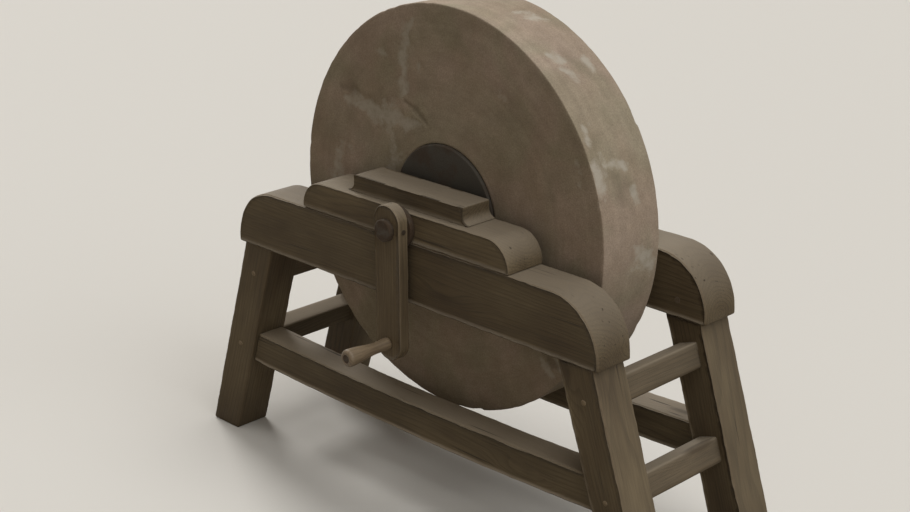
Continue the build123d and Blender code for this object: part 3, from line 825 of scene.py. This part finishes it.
def stone_wear(radius, y, angle):
    """What use has done to each point of the stone, before it is moved.

    Gives how far the rim and the faces sink there, and its marks: fresh scars, and cracks."""
    flat = np.stack([radius * np.cos(angle), radius * np.sin(angle)], 1)
    points = np.stack([flat[:, 0], y, flat[:, 1]], 1)
    to_rim = STONE_RADIUS - radius
    to_face = STONE_HALF - np.abs(y)
    on_face = (to_face < 0.5 * MM) & (radius > HUB_RADIUS + 2 * MM)
    on_rim = to_rim < 0.5 * MM
    lumps = noise_at(points, 0.09, 4, 3)
    pits = noise_at(points, 0.022, 8, 2)
    coarse = noise_at(points, 0.05, 15)
    hollows = np.clip(pits, 0, 1)
    inward = np.zeros(len(points))
    inward[on_face] += (FACE_WEAR * (1 + lumps) + FACE_PITS * hollows)[on_face]
    dished = RIM_HOLLOW * (1 - (y / STONE_HALF) ** 2)
    inward[on_rim] += (dished + RIM_WEAR * (1 + lumps) + RIM_PITS * hollows)[on_rim]

    # Chips eat both faces of an arris, here and there, where the lumps of noise are high.
    near_arris = np.exp(-((to_rim + to_face) / CHIP_REACH) ** 2)
    chip = near_arris * np.clip(1.1 * coarse + 0.6 * pits - 0.5, 0, 1)
    inward_chip = CHIP_DEPTH * chip + ARRIS_FRAY * near_arris * hollows

    scar = np.clip(chip * 2.2, 0, 1)
    crack = np.zeros(len(points))
    ragged = 1 + 0.7 * pits + 0.3 * coarse
    stray = np.stack([noise_at(points, 0.03, 41, 2), noise_at(points, 0.03, 47, 2)], 1) * STROKE_STRAY

    def sink(strokes, laid_out, places, where, store):
        """Sinks strokes into the surface where they fall, and marks them there for the material."""
        for line, depth in strokes:
            mark = stroke_strength(places[where], laid_out(line), ragged[where])
            inward[where] += mark * depth * MM
            store[where] = np.maximum(store[where], mark * min(1, depth + 0.1))

    front = on_face & (y < 0)
    sink(FACE_SCRAPES, on_face_points, flat + stray, front, scar)
    sink(FACE_CRACKS, on_face_points, flat + stray, front, crack)
    unrolled = np.stack([np.where(angle > RIM_SEAM, angle - 2 * math.pi, angle) * STONE_RADIUS, y], 1)
    sink(RIM_SCRAPES, on_rim_points, unrolled + stray, on_rim, scar)
    sink(RIM_STAINS, on_rim_points, unrolled + stray, on_rim, crack)
    # The side away from the crank has flaked in a few shallow places.
    back = on_face & (y > 0)
    spall = np.clip(noise_at(points[back], 0.075, 33, 2) - 0.52, 0, 1) * 3
    inward[back] += spall * SPALL_DEPTH
    scar[back] = np.maximum(scar[back], np.clip(spall, 0, 1))

    rim_sink = np.where(on_rim, inward, 0) + inward_chip
    face_sink = np.where(on_face, inward, 0) + inward_chip * 0.8
    rim_sink = np.where(to_rim < 2 * CHIP_REACH, rim_sink, 0)
    face_sink = np.where(to_face < 2 * CHIP_REACH, face_sink, 0)
    return rim_sink, face_sink, scar, crack


def add_grindstone(stone):
    """The stone: a turned disc, hollowed a little by use, with chipped arrises, scrapes and a crack."""
    profile = np.array(stone_profile())
    around = round(2 * math.pi * STONE_RADIUS / STONE_SPACING)
    rows = len(profile)
    radius = np.repeat(profile[:, 0], around)
    y = np.repeat(profile[:, 1], around)
    angle = np.tile(np.arange(around) * 2 * math.pi / around, rows)
    rim_sink, face_sink, scar, crack = stone_wear(radius, y, angle)
    radius = radius - rim_sink
    y = y - np.sign(y) * face_sink * (radius > HUB_RADIUS + 2 * MM)
    verts = np.stack([radius * np.cos(angle), y, AXLE_Z + radius * np.sin(angle)], 1)
    faces = []
    for row in range(rows):
        low, high = row * around, ((row + 1) % rows) * around
        for k in range(around):
            j = (k + 1) % around
            faces.append((low + k, low + j, high + j, high + k))
    faces = facing_out(verts - (0, 0, AXLE_Z), faces)
    piece = new_piece("worn_grindstone", verts, faces, stone, "wheel", ["grindstone"])
    add_values(piece.data, "scar", "FLOAT", scar)
    add_values(piece.data, "crack", "FLOAT", crack)
    return piece


def turned_bands(tree, centred):
    """Bands that the turning left: on the rim they change along the axle, on a face with the radius."""
    parts = node(tree, "SeparateXYZ", i0=centred)
    disc = node(tree, "CombineXYZ", i0=parts.outputs[0], i2=parts.outputs[2])
    radius = node(tree, "VectorMath", [LENGTH], i0=disc.outputs[0])
    across = node(tree, "Math", [PLUS], i0=radius.outputs["Value"], i1=parts.outputs[1])
    spun = node(tree, "CombineXYZ", i0=parts.outputs[0], i1=across.outputs[0], i2=parts.outputs[2])
    ringed = node(tree, "Mapping", [("Scale", (3.5, 95, 3.5))], Vector=spun.outputs[0])
    return node(tree, "TexNoise", [("Scale", 1.0), ("Detail", 3.0)], Vector=ringed.outputs[0])


def grindstone_sandstone():
    """Quarried sandstone, turned and worn by wet grinding: even fine grit, faint bands that follow
    the turning, pale where it is freshly broken, and no shine at all."""
    material, tree, shader = new_material("quarried_sandstone")
    scar = node(tree, "Attribute", [("attribute_name", "scar")]).outputs["Fac"]
    crack = node(tree, "Attribute", [("attribute_name", "crack")]).outputs["Fac"]
    place = node(tree, "TexCoord").outputs["Object"]
    to_axle = [("operation", "SUBTRACT"), (1, (0, 0, AXLE_Z))]
    centred = node(tree, "VectorMath", to_axle, i0=place).outputs[0]
    # Grit, drawn 2.5 mm wide so that it shows, and a finer 1 mm grit for relief.
    grit = node(tree, "TexNoise", [("Scale", 400.0), ("Detail", 3.0), ("Roughness", 0.7)], Vector=place)
    dust = node(tree, "TexNoise", [("Scale", 1000.0), ("Detail", 2.0)], Vector=place)
    # Clouds as broad as a hand, and smaller ones as broad as a thumb.
    cloud = node(tree, "TexNoise", [("Scale", 7.0), ("Detail", 4.0), ("Roughness", 0.6)], Vector=place)
    thumb = node(tree, "TexNoise", [("Scale", 38.0), ("Detail", 3.0)], Vector=place)
    band = turned_bands(tree, centred)

    base = node(tree, "MapRange", [("From Min", 0.32), ("From Max", 0.68)], Value=cloud.outputs[0])
    # Two beds of the quarry show as a slightly greener and a slightly redder cast.
    beds = [("Scale", 9.0), ("Detail", 2.0), ("Distortion", 0.6)]
    bed = node(tree, "TexNoise", beds, Vector=centred)
    cast = node(tree, "MapRange", [("From Min", 0.38), ("From Max", 0.62)], Value=bed.outputs[0])
    greener_redder = [COLOURS, (6, linear("#938772")), (7, linear("#9b8a77"))]
    low = node(tree, "Mix", greener_redder, i0=cast.outputs[0])
    greener_redder = [COLOURS, (6, linear("#a59a86")), (7, linear("#b09e8e"))]
    high = node(tree, "Mix", greener_redder, i0=cast.outputs[0])
    body = node(tree, "Mix", [COLOURS], i0=base.outputs[0], i6=low.outputs[2], i7=high.outputs[2])
    colour = body.outputs[2]
    shade = None
    for pattern, darkest, palest in ((grit, 0.82, 1.18), (band, 0.95, 1.05), (thumb, 0.93, 1.06)):
        spread = [("From Min", 0.3), ("From Max", 0.7), ("To Min", darkest), ("To Max", palest)]
        part = node(tree, "MapRange", spread, Value=pattern.outputs[0]).outputs[0]
        shade = node(tree, "Math", [TIMES], i0=shade, i1=part).outputs[0] if shade else part
    colour = node(tree, "VectorMath", [SCALED], i0=colour, Scale=shade).outputs[0]
    # Fresh grey stone shows through a scrape, breaking up at its sides in crumbs 17 mm across and less.
    torn = node(tree, "TexNoise", [("Scale", 60.0), ("Detail", 5.0), ("Roughness", 0.68)], Vector=place)
    frayed = node(tree, "Math", [TIMES_PLUS, (1, 2.3), (2, -1.15)], i0=torn.outputs[0])
    frayed = node(tree, "Math", [PLUS], i0=scar, i1=frayed.outputs[0])
    shown = [("From Min", 0.33), ("From Max", 1.1), ("To Max", 0.9)]
    fresh = node(tree, "MapRange", shown, Value=frayed.outputs[0])
    line = node(tree, "Math", [TIMES, (1, 0.4)], i0=crack)
    for share, tint in ((fresh, "#bab2a4"), (line, "#5a4f40")):
        laid = node(tree, "Mix", [COLOURS, (7, linear(tint))], i0=share.outputs[0], i6=colour)
        colour = laid.outputs[2]
    tree.links.new(colour, shader.inputs["Base Color"])
    shader.inputs["Roughness"].default_value = 0.95
    shader.inputs["Specular IOR Level"].default_value = 0.2
    relief = node(tree, "Math", [TIMES_PLUS, (1, 0.5)], i0=dust.outputs[0], i2=grit.outputs[0])
    bump = node(tree, "Bump", [("Strength", 0.5), ("Distance", 0.0012)], Height=relief.outputs[0])
    tree.links.new(bump.outputs[0], shader.inputs["Normal"])
    return material


# ---------------------------------------------------------------- iron and turned wood
def rusted_iron(name, bare, rust, metal, patch_mm, rust_share, rough):
    """Iron with a skin of rust: the bare metal keeps a dull shine, and the rust has none."""
    material, tree, shader = new_material(name)
    place = node(tree, "TexCoord").outputs["Object"]
    patches = [("Scale", 1000 / patch_mm), ("Detail", 5.0), ("Roughness", 0.65)]
    patch = node(tree, "TexNoise", patches, Vector=place)
    rusting = [("From Min", 0.62 - rust_share * 0.3), ("From Max", 0.78 - rust_share * 0.3)]
    skin = node(tree, "MapRange", rusting, Value=patch.outputs[0])
    # Pits, drawn 1.4 mm wide so that they show.
    pit = node(tree, "TexNoise", [("Scale", 700.0), ("Detail", 3.0)], Vector=place)
    spread = [("From Min", 0.3), ("From Max", 0.7), ("To Min", 0.78), ("To Max", 1.2)]
    mottle = node(tree, "MapRange", spread, Value=pit.outputs[0])
    colour = node(tree, "Mix", [COLOURS, (6, linear(bare)), (7, linear(rust))], i0=skin.outputs[0])
    colour = node(tree, "VectorMath", [SCALED], i0=colour.outputs[2], Scale=mottle.outputs[0])
    tree.links.new(colour.outputs[0], shader.inputs["Base Color"])
    shine = node(tree, "MapRange", [("To Min", metal), ("To Max", 0.0)], Value=skin.outputs[0])
    tree.links.new(shine.outputs[0], shader.inputs["Metallic"])
    dull = node(tree, "MapRange", [("To Min", rough), ("To Max", 0.9)], Value=skin.outputs[0])
    tree.links.new(dull.outputs[0], shader.inputs["Roughness"])
    bump = node(tree, "Bump", [("Strength", 0.4), ("Distance", 0.0008)], Height=pit.outputs[0])
    tree.links.new(bump.outputs[0], shader.inputs["Normal"])
    return material


def turned_ash(name, pale, dark):
    """Turned ash, smoothed and browned by hands: straight grain along the axle and a soft sheen."""
    material, tree, shader = new_material(name)
    place = node(tree, "TexCoord").outputs["Object"]
    # Grain lines, drawn 3 mm wide so that they show, and 70 mm long.
    long_way = node(tree, "Mapping", [("Scale", (300, 14, 300))], Vector=place)
    grain = node(tree, "TexNoise", [("Scale", 1.0), ("Detail", 4.0)], Vector=long_way.outputs[0])
    share = node(tree, "MapRange", [("From Min", 0.35), ("From Max", 0.65)], Value=grain.outputs[0])
    colour = node(tree, "Mix", [COLOURS, (6, linear(pale)), (7, linear(dark))], i0=share.outputs[0])
    tree.links.new(colour.outputs[2], shader.inputs["Base Color"])
    shader.inputs["Roughness"].default_value = 0.5
    bump = node(tree, "Bump", [("Strength", 0.25), ("Distance", 0.0004)], Height=grain.outputs[0])
    tree.links.new(bump.outputs[0], shader.inputs["Normal"])
    return material


def finish(names, material, edge_mm=0):
    """Gives CAD nodes their material and, where edge_mm is set, a small rounded edge."""
    for name in names:
        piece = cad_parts[name]
        piece.data.materials.clear()
        piece.data.materials.append(material)
        weld = piece.modifiers.new("weld", "WELD")
        weld.merge_threshold = WELD_REACH
        if edge_mm:
            bevel = piece.modifiers.new("soft_edge", "BEVEL")
            bevel.width = edge_mm * MM
            bevel.segments = 2
            bevel.limit_method = "ANGLE"
            bevel.angle_limit = math.radians(35)


# ---------------------------------------------------------------- the whole
HUB_PLATES = ["front_hub_plate", "rear_hub_plate"]
FORGINGS = [
    "axle", "hub_nuts", "front_thrust_washer", "rear_thrust_washer",
    "linchpin", "crank_pin", "handle_spindle", "hub_key",
]
HIDDEN_WOOD = ["leg_pegs", "block_dowels", "cap_dowels", "hub_core"]

add_camera()
add_studio()

oak = aged_oak("sawn_aged_oak", "#6c5f49", "#524533", "#857560", "#8c8171")
# Painted light: the rails' oak has a much paler top colour and rub, standing in for the light falling on the
# rail tops and the left lower rung's top.
rail_oak = aged_oak("painted_lit_top_rail_oak", "#6c5f49", "#514533", "#94856e", "#b0a28e")
# The rungs' top colour is paler than the rest of their oak: partly weathering, partly painted light on the
# rung tops.
rung_oak = aged_oak("sawn_rung_oak", "#645744", "#4c4131", "#796b57", "#978b79")
arm_ash = aged_oak("sawn_crank_ash", "#7a6b53", "#5e503c", "#968772", "#8c8171")
# Painted highlight: the pegs' pale wood stands in for the light caught on the dowel heads.
peg_oak = aged_oak("riven_peg_oak", "#8a7a62", "#72634e", "#94836b", "#8a7a62")
sandstone = grindstone_sandstone()
hub_iron = rusted_iron("cast_hub_iron", "#423d35", "#40352a", 0.35, 45, 0.5, 0.7)
forged = rusted_iron("forged_axle_iron", "#3c3226", "#3a2b1b", 0.35, 14, 0.8, 0.6)
grip_ash = turned_ash("turned_grip_ash", "#83725b", "#6b5b47")

add_trestle(oak, rail_oak, rung_oak)
add_crank_arm(arm_ash)
add_rung_pegs(peg_oak)
add_grindstone(sandstone)
finish(HUB_PLATES, hub_iron, 0.8)
finish(FORGINGS, forged, 0.5)
finish(HIDDEN_WOOD, turned_ash("riven_dark_oak", "#6a5c4a", "#54483a"))
finish(["crank_handle"], grip_ash)
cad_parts["crank_handle"].data.shade_smooth()
